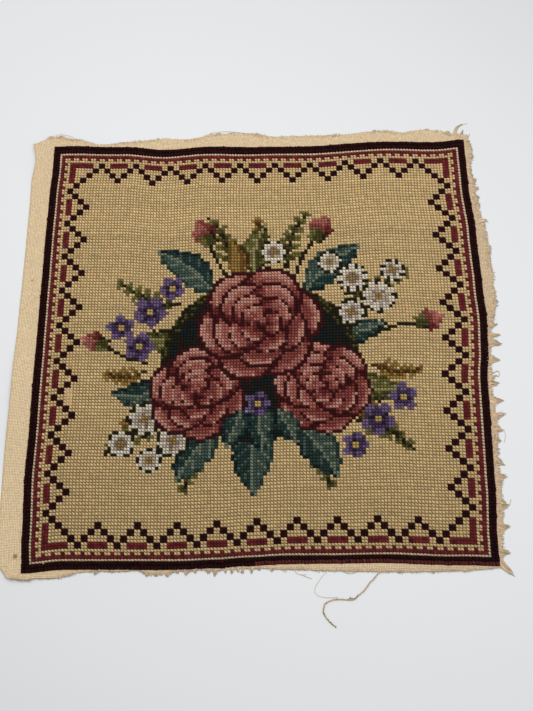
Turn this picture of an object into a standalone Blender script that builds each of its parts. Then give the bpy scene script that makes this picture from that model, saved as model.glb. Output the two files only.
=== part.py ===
"""A needlepoint panel lying flat: a square of stitched wool on an unhemmed canvas with frayed edges.

The origin is at the middle of the stitched square, on the surface that the panel lies on.
X runs across the design, Y up the design, and Z is up. Tables are in millimetres.
"""

import math
import random
from collections import namedtuple

import bmesh
import bpy
from mathutils import Vector

MM = 0.001

# Driving sizes, in millimetres
STITCH = 2.54
STITCHES = 142
HALF = STITCH * STITCHES / 2
CANVAS_THICK = 1.0
WOOL_THICK = 1.5
GAP = 0.3

# The rim is two rope-like rows of dark stitches, so each row is a ridge
RIM_ROWS = 2
RIDGE = 0.45
RIM_SHOULDER = -0.35
UNEVEN = 0.12
UNEVEN_WAVE = 46.0

# Grid cells along a side of each sheet
CANVAS_CELLS = 30
WOOL_CELLS = 22

# Frayed threads
FRAY_THICK = 0.6
STRIP_WIDTH = 1.1
ROOT_WIDTH = 1.1
TIP_WIDTH = 0.4
FRAY_LEAN = 0.5
FRAY_BEND = 0.2
TUFT_DRAW = 0.55
CORNER_PITCH = 1.1
CORNER_ROOT = 0.6
FRAY_SEED = 7

# Loose threads
THREAD_WIDTH = 1.2
FINE_WIDTH = 0.5
THREAD_STEP = 2.2
FINE_STEP = 1.3

# A side's edge: how far along the side, from 0 to 1, and how far out of the true square, in mm
Station = namedtuple("Station", "along out")
# A place where the sheet lifts off the surface
Lift = namedtuple("Lift", "x y reach height")
# Frayed threads: a stretch of one side, their number, how short most of them are, and the tufts
Fray = namedtuple("Fray", "name side start end count short peaks")
# Where longer threads draw together: how far along the side, how long, and how far to either side
Peak = namedtuple("Peak", "along length half")
# A tuft at a corner of the canvas: which corner, the way it points and fans out in degrees, and its threads
Tuft = namedtuple("Tuft", "name u v angle spread count length")


def stations(*rows):
    return [Station(*row) for row in rows]


def peaks(*rows):
    return [Peak(*row) for row in rows]


WOOL_EDGES = {
    "top": stations(
        (0, 2.2), (0.05, 2.9), (0.17, 1.6), (0.28, -2.6), (0.38, -0.5), (0.50, -2.3),
        (0.62, -3.0), (0.80, -0.6), (0.93, -2.4), (1, -0.6),
    ),
    "right": stations(
        (0, -0.5), (0.06, -0.6), (0.16, 1.0), (0.40, 1.8), (0.47, 4.2), (0.54, 5.2),
        (0.62, 3.8), (0.75, 2.2), (0.88, -1.0), (1, -1.8),
    ),
    "bottom": stations(
        (0, 3.0), (0.09, 0.4), (0.33, 1.2), (0.42, 0.2), (0.47, -1.0), (0.57, -2.2),
        (0.75, -2.3), (0.92, -0.3), (1, 0.7),
    ),
    "left": stations(
        (0, -2.3), (0.07, -0.5), (0.21, 1.1), (0.32, 0.0), (0.53, -0.1), (0.75, -0.7),
        (0.86, -1.5), (0.95, -3.2), (1, -3.6),
    ),
}
CANVAS_EDGES = {
    "top": stations(
        (0, 5.0), (0.05, 12.3), (0.10, 9.4), (0.16, 3.9), (0.22, 6.8), (0.30, 8.6), (0.36, 7.2),
        (0.42, 10.6), (0.50, 10.4), (0.56, 6.2), (0.72, 6.6), (0.81, 9.4), (0.86, 6.8),
        (0.90, 9.0), (0.935, 7.4), (0.965, 4.4), (1, 3.2),
    ),
    "right": stations(
        (0, 0.4), (0.03, 0.6), (0.06, 1.8), (0.10, 3.4), (0.16, 3.8), (0.24, 3.4), (0.303, 5.0),
        (0.364, 3.2), (0.445, 3.9), (0.505, 5.8), (0.535, 8.6), (0.57, 12.6), (0.605, 11.4),
        (0.64, 11.8), (0.67, 10.6), (0.705, 10.8), (0.74, 9.2), (0.78, 6.6), (0.81, 4.6),
        (0.85, 3.2), (0.88, 2.2), (0.90, 0.6), (0.925, 1.0), (0.95, 3.2), (0.97, 2.4),
        (0.985, 1.0), (1, 0.6),
    ),
    "bottom": stations(
        (0, 6.2), (0.04, 7.6), (0.10, 6.0), (0.15, 2.2), (0.22, 2.2), (0.30, 3.6), (0.38, 1.9),
        (0.43, 3.0), (0.51, 0.9), (0.64, 1.6), (0.82, 3.0), (0.92, 2.6), (1, 2.0),
    ),
    "left": stations(
        (0, 9.0), (0.03, 15.5), (0.08, 17.5), (0.17, 18.6), (0.40, 17.0), (0.55, 16.6),
        (0.65, 15.8), (0.90, 14.8), (0.96, 12.2), (1, 14.6),
    ),
}
LIFTS = [
    Lift(-215, 205, 90, 5.0),
    Lift(-222, -45, 75, 4.0),
    Lift(-212, -205, 62, 4.0),
]
FRAYS = [
    Fray("frayed_edge_right", "right", 0.03, 0.965, 118, 0.9, peaks(
        (0.034, 5.5, 0.016), (0.081, 5.5, 0.020), (0.129, 6.2, 0.018), (0.184, 6.3, 0.018),
        (0.219, 5.8, 0.015), (0.261, 3.3, 0.016), (0.290, 5.4, 0.013), (0.316, 8.5, 0.014),
        (0.352, 8.9, 0.016), (0.388, 6.6, 0.016), (0.441, 8.8, 0.018), (0.481, 9.5, 0.018),
        (0.519, 5.8, 0.014), (0.773, 4.6, 0.010), (0.829, 2.4, 0.016), (0.854, 3.2, 0.014),
        (0.873, 3.2, 0.014), (0.940, 1.8, 0.016),
    )),
    Fray("frayed_edge_bottom", "bottom", 0.06, 0.955, 94, 0.6, peaks(
        (0.11, 1.4, 0.018), (0.19, 2.0, 0.016), (0.245, 1.4, 0.016), (0.295, 3.2, 0.014),
        (0.345, 2.2, 0.014), (0.385, 3.4, 0.012), (0.428, 3.8, 0.014), (0.46, 2.0, 0.012),
        (0.50, 2.4, 0.014), (0.545, 2.8, 0.014), (0.60, 1.8, 0.016), (0.66, 2.2, 0.014),
        (0.73, 1.8, 0.016), (0.80, 2.6, 0.014), (0.87, 1.8, 0.016), (0.93, 2.2, 0.014),
    )),
    Fray("frayed_edge_top", "top", 0.40, 0.965, 58, 0.5, peaks(
        (0.43, 2.0, 0.016), (0.52, 1.8, 0.016), (0.60, 1.2, 0.020), (0.70, 1.4, 0.020),
        (0.79, 2.2, 0.016), (0.87, 1.6, 0.016), (0.91, 2.2, 0.014), (0.955, 2.6, 0.014),
    )),
]
TUFTS = [
    Tuft("frayed_corner_lower", 1, 0, -37, 16, 7, 10.0),
    Tuft("frayed_corner_upper", 1, 1, 72, 26, 6, 9.5),
]
# How much of the fringe is bare to either side of a loose thread
BARE_HALF = 2.4

# Routes on the surface, from the canvas outwards
THREAD_ROUTE = [
    (90.8, -184.8), (88.4, -187.2), (86.0, -190.0), (83.4, -192.7), (79.6, -197.2), (75.2, -201.0),
    (72.4, -203.4), (69.6, -204.2), (63.5, -203.9), (56.2, -204.1), (50.7, -206.4), (49.0, -210.0),
    (49.2, -213.8), (51.6, -217.7), (54.5, -221.2), (57.8, -223.6),
]
FINE_ROUTE = [
    (52.0, -184.0), (48.0, -187.9), (44.2, -193.3), (42.9, -196.9), (43.6, -199.8), (46.5, -201.7),
    (51.3, -202.6), (55.5, -202.7), (59.5, -202.5),
]


def clear_scene():
    for old in list(bpy.data.objects):
        bpy.data.objects.remove(old, do_unlink=True)


def material(name, color, roughness):
    made = bpy.data.materials.new(name)
    made.use_nodes = True
    shader = made.node_tree.nodes["Principled BSDF"]
    shader.inputs["Base Color"].default_value = (*color, 1)
    shader.inputs["Roughness"].default_value = roughness
    return made


def out_at(rows, along):
    """How far out the edge lies, eased from one station to the next."""
    for near, far in zip(rows, rows[1:]):
        if along <= far.along:
            part = (along - near.along) / (far.along - near.along)
            ease = part * part * (3 - 2 * part)
            return near.out + (far.out - near.out) * ease
    return rows[-1].out


def side_point(edges, side, along):
    """A point on one side of a nearly square sheet. Along runs to the right, or up."""
    out = out_at(edges[side], along)
    sign = 1 if side in ("top", "right") else -1
    before, after = ("left", "right") if side in ("top", "bottom") else ("bottom", "top")
    end = -1 if side in ("top", "right") else 0
    start = -HALF - edges[before][end].out
    stop = HALF + edges[after][end].out
    place = start + (stop - start) * along
    across = sign * (HALF + out)
    return Vector((place, across)) if side in ("top", "bottom") else Vector((across, place))


def patch_point(edges, u, v):
    """A point inside the sheet, blended from its four sides."""
    rows = side_point(edges, "bottom", u) * (1 - v) + side_point(edges, "top", u) * v
    columns = side_point(edges, "left", v) * (1 - u) + side_point(edges, "right", v) * u
    low = side_point(edges, "bottom", 0) * (1 - u) + side_point(edges, "bottom", 1) * u
    high = side_point(edges, "top", 0) * (1 - u) + side_point(edges, "top", 1) * u
    return rows + columns - low * (1 - v) - high * v


def lift_at(x, y):
    """How far the sheet's underside is off the surface."""
    total = 0.0
    for spot in LIFTS:
        near = 1 - ((x - spot.x) ** 2 + (y - spot.y) ** 2) / spot.reach**2
        if near > 0:
            total += spot.height * near * near
    return total


def rim_height(stitches_in):
    """Height of the two rim ridges, at a distance from the edge in stitches."""
    if stitches_in >= RIM_ROWS:
        return 0.0
    shoulder = RIM_SHOULDER if stitches_in <= 0 else 0.0
    return shoulder + RIDGE * math.sin(math.pi * (stitches_in % 1)) ** 2


def wool_stations():
    """Grid lines across the wool, as fractions: close at the rim ridges, even inside."""
    rim = [row / 2 for row in range(2 * RIM_ROWS)]
    inside = STITCHES - 2 * RIM_ROWS
    middle = [RIM_ROWS + inside * cell / WOOL_CELLS for cell in range(WOOL_CELLS + 1)]
    lines = rim + middle + [STITCHES - place for place in reversed(rim)]
    return [place / STITCHES for place in lines]


def sheet(name, edges, lines, under, over, finish):
    """A closed sheet on a grid: the grid is its underside, and its copy is the upper face."""
    cells = len(lines) - 1
    mesh = bpy.data.meshes.new(name)
    form = bmesh.new()
    bmesh.ops.create_grid(form, x_segments=cells, y_segments=cells, size=1)
    place = {}
    for vert in form.verts:
        place[vert] = (
            lines[round((vert.co.x + 1) / 2 * cells)],
            lines[round((vert.co.y + 1) / 2 * cells)],
        )
    made = bmesh.ops.extrude_face_region(form, geom=form.faces[:], use_keep_orig=True)
    upper = [item for item in made["geom"] if isinstance(item, bmesh.types.BMVert)]
    for vert in upper:
        place[vert] = (
            lines[round((vert.co.x + 1) / 2 * cells)],
            lines[round((vert.co.y + 1) / 2 * cells)],
        )
    on_top = set(upper)
    for vert, (u, v) in place.items():
        x, y = patch_point(edges, u, v)
        height = over(u, v, x, y) if vert in on_top else under(x, y)
        vert.co = Vector((x, y, height)) * MM
    bmesh.ops.recalc_face_normals(form, faces=form.faces[:])
    form.to_mesh(mesh)
    form.free()
    mesh.shade_smooth()
    mesh.set_sharp_from_angle(angle=math.radians(40))
    mesh.materials.append(finish)
    return bpy.data.objects.new(name, mesh)


def canvas(finish):
    lines = [cell / CANVAS_CELLS for cell in range(CANVAS_CELLS + 1)]
    return sheet(
        "canvas", CANVAS_EDGES, lines,
        under=lift_at,
        over=lambda u, v, x, y: lift_at(x, y) + CANVAS_THICK,
        finish=finish,
    )


def wool_under(x, y):
    return lift_at(x, y) + CANVAS_THICK + GAP


def wool_over(u, v, x, y):
    inward = min(u, v, 1 - u, 1 - v) * STITCHES
    wave = math.sin(x / UNEVEN_WAVE + 0.6) * math.cos(y / UNEVEN_WAVE - 0.4)
    return wool_under(x, y) + WOOL_THICK + rim_height(inward) + UNEVEN * wave


def stitched_wool(finish):
    return sheet("stitched_wool", WOOL_EDGES, wool_stations(), wool_under, wool_over, finish)


def canvas_edge(side, along):
    """A point on the canvas's edge, which is straight from one grid line to the next."""
    cell = min(int(along * CANVAS_CELLS), CANVAS_CELLS - 1)
    near = side_point(CANVAS_EDGES, side, cell / CANVAS_CELLS)
    far = side_point(CANVAS_EDGES, side, (cell + 1) / CANVAS_CELLS)
    return near.lerp(far, along * CANVAS_CELLS - cell)


def flat_outline(name, points, thickness, finish):
    """A flat piece with this outline, lying on the surface."""
    curve = bpy.data.curves.new(name, "CURVE")
    curve.dimensions = "2D"
    curve.fill_mode = "BOTH"
    curve.extrude = thickness / 2 * MM
    spline = curve.splines.new("POLY")
    spline.points.add(len(points) - 1)
    for target, (x, y) in zip(spline.points, points):
        target.co = (x * MM, y * MM, 0, 1)
    spline.use_cyclic_u = True
    curve.materials.append(finish)
    made = bpy.data.objects.new(name, curve)
    made.location.z = thickness / 2 * MM
    return made


def strand(root, along, tip, width=ROOT_WIDTH):
    """Threads of a fringe, as the corners of a narrow tongue from its root to its tip."""
    middle = root.lerp(tip, 0.5) + along * (root - tip).dot(along) * FRAY_BEND
    half = along * 0.5
    return [
        root - half * width,
        middle - half * (width + TIP_WIDTH) / 2,
        tip - half * TIP_WIDTH,
        tip + half * TIP_WIDTH,
        middle + half * (width + TIP_WIDTH) / 2,
        root + half * width,
    ]


def thread_tip(row, place, rng):
    """Where along the side a thread ends, and how long it is, drawn into the nearest tuft."""
    peak = min(row.peaks, key=lambda item: abs(item.along - place) / item.half)
    near = 1 - abs(peak.along - place) / peak.half
    if near <= 0:
        return place, row.short * rng.uniform(0.7, 1.2)
    length = row.short + (peak.length - row.short) * (0.35 + 0.65 * near)
    return place + (peak.along - place) * TUFT_DRAW, length * rng.uniform(0.85, 1.0)


def frayed_edge(row, rng, finish):
    """A strip beside the canvas's edge with its threads, most of them short, the rest in tufts."""
    outward = {"right": Vector((1, 0)), "bottom": Vector((0, -1)), "top": Vector((0, 1))}[row.side]
    along = Vector((0, 1)) if row.side == "right" else Vector((1, 0))
    lines = [cell / CANVAS_CELLS for cell in range(1, CANVAS_CELLS)]
    inner = [row.start] + [line for line in lines if row.start < line < row.end] + [row.end]
    points = [canvas_edge(row.side, place) + outward * GAP for place in reversed(inner)]
    reach = GAP + STRIP_WIDTH
    points.append(canvas_edge(row.side, row.start) + outward * reach)
    bare = [THREAD_ROUTE[0][0], FINE_ROUTE[0][0]] if row.side == "bottom" else []
    for number in range(row.count):
        place = row.start + (row.end - row.start) * (number + 0.5) / row.count
        root = canvas_edge(row.side, place) + outward * reach
        end, length = thread_tip(row, place, rng)
        lean = (end - place) * 2 * HALF + rng.uniform(-0.5, 0.5) * FRAY_LEAN
        if any(abs(root.x - spot) < BARE_HALF for spot in bare):
            continue
        points += strand(root, along, root + outward * length + along * lean)
    points.append(canvas_edge(row.side, row.end) + outward * reach)
    return flat_outline(row.name, points, FRAY_THICK, finish)


def frayed_corner(row, rng, finish):
    """A tuft of longer threads that fans out of a small knot of canvas at a corner."""
    turn = math.radians(row.angle)
    outward = Vector((math.cos(turn), math.sin(turn)))
    along = Vector((-outward.y, outward.x))
    start = patch_point(CANVAS_EDGES, row.u, row.v) + outward * GAP
    half = along * (row.count + 0.5) * CORNER_PITCH / 2
    points = [start + half, start - half, start - half + outward * STRIP_WIDTH]
    for number in range(row.count):
        shift = number - (row.count - 1) / 2
        root = start + outward * STRIP_WIDTH + along * shift * CORNER_PITCH
        fan = math.radians(row.spread * shift / row.count)
        length = row.length * rng.uniform(0.6, 1.0)
        tip = root + (outward * math.cos(fan) + along * math.sin(fan)) * length
        points += strand(root, along, tip, CORNER_ROOT)
    points.append(start + half + outward * STRIP_WIDTH)
    return flat_outline(row.name, points, FRAY_THICK, finish)


def smooth_route(route, step):
    """Points a step apart along a smooth curve through the route's own points."""
    spots = [Vector(point) for point in route]
    spots = [spots[0] * 2 - spots[1]] + spots + [spots[-1] * 2 - spots[-2]]
    points = [spots[1]]
    for a, b, c, d in zip(spots, spots[1:], spots[2:], spots[3:]):
        pieces = max(1, round((c - b).length / step))
        for piece in range(1, pieces + 1):
            t = piece / pieces
            flat = b * 2 + (c - a) * t
            bent = (a * 2 - b * 5 + c * 4 - d) * t * t
            turned = (b * 3 - a - c * 3 + d) * t**3
            points.append((flat + bent + turned) / 2)
    return points


def loose_thread(name, route, width, step, finish):
    """A thread that lies on the surface, as a round tube."""
    curve = bpy.data.curves.new(name, "CURVE")
    curve.dimensions = "3D"
    curve.bevel_depth = width / 2 * MM
    curve.bevel_resolution = 2
    curve.use_fill_caps = True
    points = smooth_route(route, step)
    spline = curve.splines.new("POLY")
    spline.points.add(len(points) - 1)
    for target, (x, y) in zip(spline.points, points):
        target.co = (x * MM, y * MM, (width / 2 + 0.02) * MM, 1)
    spline.use_smooth = True
    curve.materials.append(finish)
    return bpy.data.objects.new(name, curve)


def build():
    clear_scene()
    parts = bpy.data.collections.new("needlepoint_panel")
    bpy.context.scene.collection.children.link(parts)
    linen = material("canvas_cotton", (0.68, 0.57, 0.38), 0.9)
    wool = material("wool_yarn", (0.55, 0.42, 0.22), 0.85)
    thread = material("loose_yarn", (0.45, 0.30, 0.17), 0.85)
    rng = random.Random(FRAY_SEED)
    made = [canvas(linen), stitched_wool(wool)]
    made += [frayed_edge(row, rng, linen) for row in FRAYS]
    made += [frayed_corner(row, rng, linen) for row in TUFTS]
    made.append(loose_thread("loose_thread", THREAD_ROUTE, THREAD_WIDTH, THREAD_STEP, thread))
    made.append(loose_thread("fine_thread", FINE_ROUTE, FINE_WIDTH, FINE_STEP, linen))
    for item in made:
        parts.objects.link(item)


build()
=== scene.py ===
"""The looks of a needlepoint panel that lies flat: cross stitches of wool on a frayed cotton canvas.

Lengths are in millimetres, in the frame's own axes, and become metres where a mesh is made.
The design is charted in stitches: columns count from the left and rows from the top.
"""

import math
from collections import namedtuple

import bpy
import numpy as np
from mathutils import Matrix, Vector


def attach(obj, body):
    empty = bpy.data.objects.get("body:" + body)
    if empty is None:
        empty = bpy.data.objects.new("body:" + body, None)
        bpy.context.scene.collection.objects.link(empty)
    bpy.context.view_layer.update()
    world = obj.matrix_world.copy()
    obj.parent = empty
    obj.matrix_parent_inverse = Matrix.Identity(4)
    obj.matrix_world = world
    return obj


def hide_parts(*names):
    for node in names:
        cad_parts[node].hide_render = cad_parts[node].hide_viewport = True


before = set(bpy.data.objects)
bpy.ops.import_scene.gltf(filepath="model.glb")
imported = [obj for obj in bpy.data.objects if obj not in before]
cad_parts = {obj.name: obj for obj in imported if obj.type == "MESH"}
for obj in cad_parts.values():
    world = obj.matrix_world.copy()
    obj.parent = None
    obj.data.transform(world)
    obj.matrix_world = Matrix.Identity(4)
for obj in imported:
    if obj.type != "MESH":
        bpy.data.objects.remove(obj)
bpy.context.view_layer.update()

MM = 0.001
STITCH = 2.54
COUNT = 142
HALF = STITCH * COUNT / 2
SEED = 20

# Heights above the surface
CANVAS_LOW = 0.15
CANVAS_THICK = 0.45
CANVAS_RAISED = 0.55
WOOL_BED = 1.2
WOOL_HIGH = 1.5
RIM_EXTRA = 0.5
RIM_PLUMP = 1.08
COLOR_PLUMP = 1.36
COLOR_EXTRA = 0.32
BACK_LOW = 0.12
BACK_HIGH = 0.7

# The photograph's camera
IMAGE_LONG_SIDE = 711
FOCAL_PIXELS = 950
SENSOR = 36.0
CAMERA_PLACE = (40.9, -258.1, 723.3)
CAMERA_YAW, CAMERA_TILT, CAMERA_ROLL = 7.68, 18.89, -8.37

# Loose threads: the routes that their solids follow
THREAD_WIDTH = 1.2
FINE_WIDTH = 0.5
THREAD_ROUTE = [
    (90.8, -184.8), (88.4, -187.2), (86.0, -190.0), (83.4, -192.7), (79.6, -197.2), (75.2, -201.0),
    (72.4, -203.4), (69.6, -204.2), (63.5, -203.9), (56.2, -204.1), (50.7, -206.4), (49.0, -210.0),
    (49.2, -213.8), (51.6, -217.7), (54.5, -221.2), (57.8, -223.6),
]
FINE_ROUTE = [
    (52.0, -184.0), (48.0, -187.9), (44.2, -193.3), (42.9, -196.9), (43.6, -199.8), (46.5, -201.7),
    (51.3, -202.6), (55.5, -202.7), (59.5, -202.5),
]

# Each side's edge: how far along it, from 0 to 1, and how far out of the true square
WOOL_EDGES = {
    "top": [
        (0, 2.2), (0.05, 2.9), (0.17, 1.6), (0.28, -2.6), (0.38, -0.5), (0.50, -2.3),
        (0.62, -3.0), (0.80, -0.6), (0.93, -2.4), (1, -0.6),
    ],
    "right": [
        (0, -0.5), (0.06, -0.6), (0.16, 1.0), (0.40, 1.8), (0.47, 4.2), (0.54, 5.2),
        (0.62, 3.8), (0.75, 2.2), (0.88, -1.0), (1, -1.8),
    ],
    "bottom": [
        (0, 3.0), (0.09, 0.4), (0.33, 1.2), (0.42, 0.2), (0.47, -1.0), (0.57, -2.2),
        (0.75, -2.3), (0.92, -0.3), (1, 0.7),
    ],
    "left": [
        (0, -2.3), (0.07, -0.5), (0.21, 1.1), (0.32, 0.0), (0.53, -0.1), (0.75, -0.7),
        (0.86, -1.5), (0.95, -3.2), (1, -3.6),
    ],
}
# The cloth reaches a little further than the stations wherever its threads are frayed
STRIP = 1.2


def frayed_from(start, *rows):
    return [(along, out + STRIP * (along >= start)) for along, out in rows]


CANVAS_EDGES = {
    "top": frayed_from(
        0.40,
        (0, 5.0), (0.05, 12.3), (0.10, 9.4), (0.16, 3.9), (0.22, 6.8), (0.30, 8.6), (0.36, 7.2),
        (0.42, 10.6), (0.50, 10.4), (0.56, 6.2), (0.72, 6.6), (0.81, 9.4), (0.86, 6.8),
        (0.90, 9.0), (0.935, 7.4), (0.965, 4.4), (1, 3.2),
    ),
    "right": frayed_from(
        0.03,
        (0, 0.4), (0.03, 0.6), (0.06, 1.8), (0.10, 3.4), (0.16, 3.8), (0.24, 3.4), (0.303, 5.0),
        (0.364, 3.2), (0.445, 3.9), (0.505, 5.8), (0.535, 8.6), (0.57, 12.6), (0.605, 11.4),
        (0.64, 11.8), (0.67, 10.6), (0.705, 10.8), (0.74, 9.2), (0.78, 6.6), (0.81, 4.6),
        (0.85, 3.2), (0.88, 2.2), (0.90, 0.6), (0.925, 1.0), (0.95, 3.2), (0.97, 2.4),
        (0.985, 1.0), (1, 0.6),
    ),
    "bottom": [
        (0, 6.2), (0.04, 7.6), (0.062, 6.4), (0.10, 6.6), (0.125, 5.0), (0.145, 2.6), (0.17, 1.4),
        (0.22, 2.0), (0.265, 1.2), (0.29, 4.4), (0.33, 4.6), (0.35, 2.0), (0.38, 2.2), (0.40, 1.2),
        (0.43, 2.2), (0.45, 0.8), (0.51, 0.6), (0.53, 0.2), (0.55, 1.6), (0.58, 1.2), (0.64, 2.8),
        (0.82, 4.2), (0.92, 3.8), (1, 2.0),
    ],
    "left": [
        (0, 9.0), (0.03, 15.5), (0.08, 17.5), (0.17, 18.6), (0.40, 17.0), (0.55, 16.6),
        (0.65, 15.8), (0.90, 14.8), (0.96, 12.2), (1, 14.6),
    ],
}
Lift = namedtuple("Lift", "x y reach height")
LIFTS = [
    Lift(-215, 205, 90, 5.0),
    Lift(-222, -45, 75, 4.0),
    Lift(-212, -205, 62, 4.0),
]

# Yarns, as the eye sees them in even light
YARNS = {
    "beige": (231, 198, 136),
    "dark": (44, 10, 12),
    "brown": (96, 40, 36),
    "red": (107, 32, 33),
    "rose 0": (72, 22, 22),
    "rose 1": (116, 44, 40),
    "rose 2": (152, 74, 64),
    "rose 3": (186, 108, 92),
    "rose 4": (212, 150, 128),
    "teal 0": (20, 38, 38),
    "teal 1": (42, 66, 60),
    "teal 2": (78, 98, 84),
    "teal 3": (126, 136, 112),
    "olive 0": (42, 38, 20),
    "olive 1": (84, 78, 34),
    "olive 2": (124, 116, 56),
    "olive 3": (168, 156, 98),
    "gold 0": (82, 54, 22),
    "gold 1": (128, 92, 34),
    "gold 2": (168, 132, 60),
    "violet 0": (46, 30, 54),
    "violet 1": (80, 58, 92),
    "violet 2": (122, 98, 132),
    "violet 3": (164, 144, 164),
    "cream 0": (148, 124, 112),
    "cream 1": (200, 182, 156),
    "cream 2": (240, 226, 198),
    "bark": (46, 32, 22),
    "yellow": (204, 172, 88),
}
NAMES = list(YARNS)


def linear(color):
    """A colour as the eye sees it, as the light it sends back."""
    part = np.asarray(color, float) / 255
    return np.where(part <= 0.04045, part / 12.92, ((part + 0.055) / 1.055) ** 2.4)


def smoothstep(low, high, value):
    part = np.clip((np.asarray(value, float) - low) / (high - low), 0, 1)
    return part * part * (3 - 2 * part)


# The sheet's shape

def edge_out(rows, along):
    """How far out an edge lies, eased from one station to the next."""
    places, outs = np.array(rows).T
    cell = np.clip(np.searchsorted(places, along, side="right") - 1, 0, len(places) - 2)
    part = np.clip((along - places[cell]) / (places[cell + 1] - places[cell]), 0, 1)
    return outs[cell] + (outs[cell + 1] - outs[cell]) * part * part * (3 - 2 * part)


def side_points(edges, side, along):
    """Points on one side of a nearly square sheet. Along runs to the right, or up."""
    along = np.asarray(along, float)
    far = side in ("top", "right")
    before, after = ("left", "right") if side in ("top", "bottom") else ("bottom", "top")
    end = -1 if far else 0
    start = -HALF - edges[before][end][1]
    stop = HALF + edges[after][end][1]
    place = start + (stop - start) * along
    across = (HALF + edge_out(edges[side], along)) * (1 if far else -1)
    pair = (place, across) if side in ("top", "bottom") else (across, place)
    return np.stack(pair, axis=-1)


def patch(edges, u, v):
    """Points inside the sheet, blended from its four sides."""
    u, v = np.broadcast_arrays(np.asarray(u, float), np.asarray(v, float))
    bottom, top = side_points(edges, "bottom", u), side_points(edges, "top", u)
    left, right = side_points(edges, "left", v), side_points(edges, "right", v)
    corner = {(s, e): side_points(edges, s, float(e)) for s in ("bottom", "top") for e in (0, 1)}
    u, v = u[..., None], v[..., None]
    low = corner["bottom", 0] * (1 - u) + corner["bottom", 1] * u
    high = corner["top", 0] * (1 - u) + corner["top", 1] * u
    return bottom * (1 - v) + top * v + left * (1 - u) + right * u - low * (1 - v) - high * v


def lift_at(x, y):
    total = np.zeros(np.shape(x))
    for spot in LIFTS:
        near = np.clip(1 - ((x - spot.x) ** 2 + (y - spot.y) ** 2) / spot.reach**2, 0, 1)
        total = total + spot.height * near * near
    return total


# The chart: which yarn each stitch has

COLUMN, ROW = np.meshgrid(np.arange(COUNT) + 0.5, np.arange(COUNT) + 0.5)
chart = np.full((COUNT, COUNT), NAMES.index("beige"))
dapple = np.random.default_rng(SEED + 1).uniform(-0.5, 0.5, (COUNT, COUNT))


def paint(mask, tones, level):
    """Stitches in the mask take the tone at that level, from the darkest up."""
    level = np.clip(np.round(level + np.zeros_like(COLUMN)), 0, len(tones) - 1).astype(int)
    lookup = np.array([NAMES.index(tone) for tone in tones])
    chart[mask] = lookup[level][mask]


def tones(family, *numbers):
    return [f"{family} {number}" for number in numbers]


def stamp(name, columns, rows):
    """A block of stitches, repeated on the four sides by turning the chart."""
    for turn in range(4):
        np.rot90(chart, turn)[rows, columns] = NAMES.index(name)


def border():
    """The dark rim, a toothed red line, red dashes and a dark zigzag, the same on each side."""
    rim, line, teeth, frame_row = 2, 3, 4, 6
    repeat, first_low, first_dash, dash = 12, 17, 20, 6
    stamp("dark", slice(0, COUNT), slice(0, rim))
    chart[COUNT - 1, 70:] = NAMES.index("brown")
    stamp("red", slice(line, COUNT - line), line)
    for column in range(line, COUNT - line, 3):
        stamp("red", column, teeth)
    stamp("red", slice(frame_row, frame_row + 8), slice(frame_row, frame_row + 2))
    stamp("red", slice(COUNT - frame_row - 8, COUNT - frame_row), slice(frame_row, frame_row + 2))
    lows = range(first_low, COUNT - first_low + 1, repeat)
    for low in lows[:-1]:
        start = first_dash + low - first_low
        stamp("red", slice(start, start + dash), slice(frame_row, frame_row + 2))
        for step in range(1, 6):
            rise = 2 * min(step, 6 - step)
            block(low + 2 * step, frame_row + 1 + rise)
    for low in lows:
        block(low, frame_row + 1)
    for step in range(1, 5):
        block(first_low - 2 * step, frame_row + 1 + 2 * step)


def block(column, row):
    stamp("dark", slice(column - 1, column + 1), slice(row - 1, row + 1))


def local(x, y, angle):
    """Distances along and across a motif that points at this angle, clockwise from the right."""
    turn = math.radians(angle)
    across, down = COLUMN - x, ROW - y
    return across * math.cos(turn) + down * math.sin(turn), down * math.cos(turn) - across * math.sin(turn)


def stem(x, y, angle, length, bend, name, width=0.55):
    along, across = local(x, y, angle)
    part = along / length
    on = (part > 0) & (part < 1) & (abs(across - bend * 4 * part * (1 - part)) < width)
    chart[on] = NAMES.index(name)


def leaf(x, y, angle, length, width, family, bend=0.0, teeth=0):
    """A leaf with a pale midrib and side veins, lighter on its upper half."""
    along, across = local(x, y, angle)
    part = np.clip(along / length, 0, 1)
    across = across - bend * 4 * part * (1 - part)
    swell = width * np.sin(math.pi * part**0.8) ** 0.8
    if teeth:
        swell = swell + 0.9 * (abs((part * teeth) % 1 - 0.5) * 2 - 0.5)
    inside = (along > 0) & (along < length) & (abs(across) < swell)
    vein = abs((along - abs(across) * 1.1) % 4.2 - 2.1) < 0.55
    level = 1.3 + 0.9 * (across < 0) - 0.9 * (abs(across) > swell - 1.1) + 0.9 * vein * (abs(across) > 1)
    level = level - 0.5 * (part < 0.2) + 0.3 * dapple
    level = np.where(abs(across) < 0.55, 2.6, level)
    paint(inside, tones(family, 0, 1, 2, 3) if family != "gold" else tones(family, 0, 1, 2, 2), level)


def frond(x, y, angle, length, family, bend=0.0, pitch=3.4, reach=5.0):
    """A ferny spray: a stem with pairs of small leaflets that shorten towards its tip."""
    stem(x, y, angle, length, bend, f"{family} 0")
    turn = math.radians(angle)
    for number in range(1, int(length / pitch) + 1):
        part = number * pitch / length
        if part > 1:
            continue
        side = bend * 4 * part * (1 - part)
        place = part * length
        base_x = x + place * math.cos(turn) - side * math.sin(turn)
        base_y = y + place * math.sin(turn) + side * math.cos(turn)
        size = reach * (1.1 - 0.75 * part)
        for way in (-48, 48):
            along, across = local(base_x, base_y, angle + way)
            inside = (along > 0.2) & (along < size) & (abs(across) < 0.95)
            paint(inside, tones(family, 0, 1, 2), 1 + (along > size * 0.45) + 0.5 * dapple)


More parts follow.
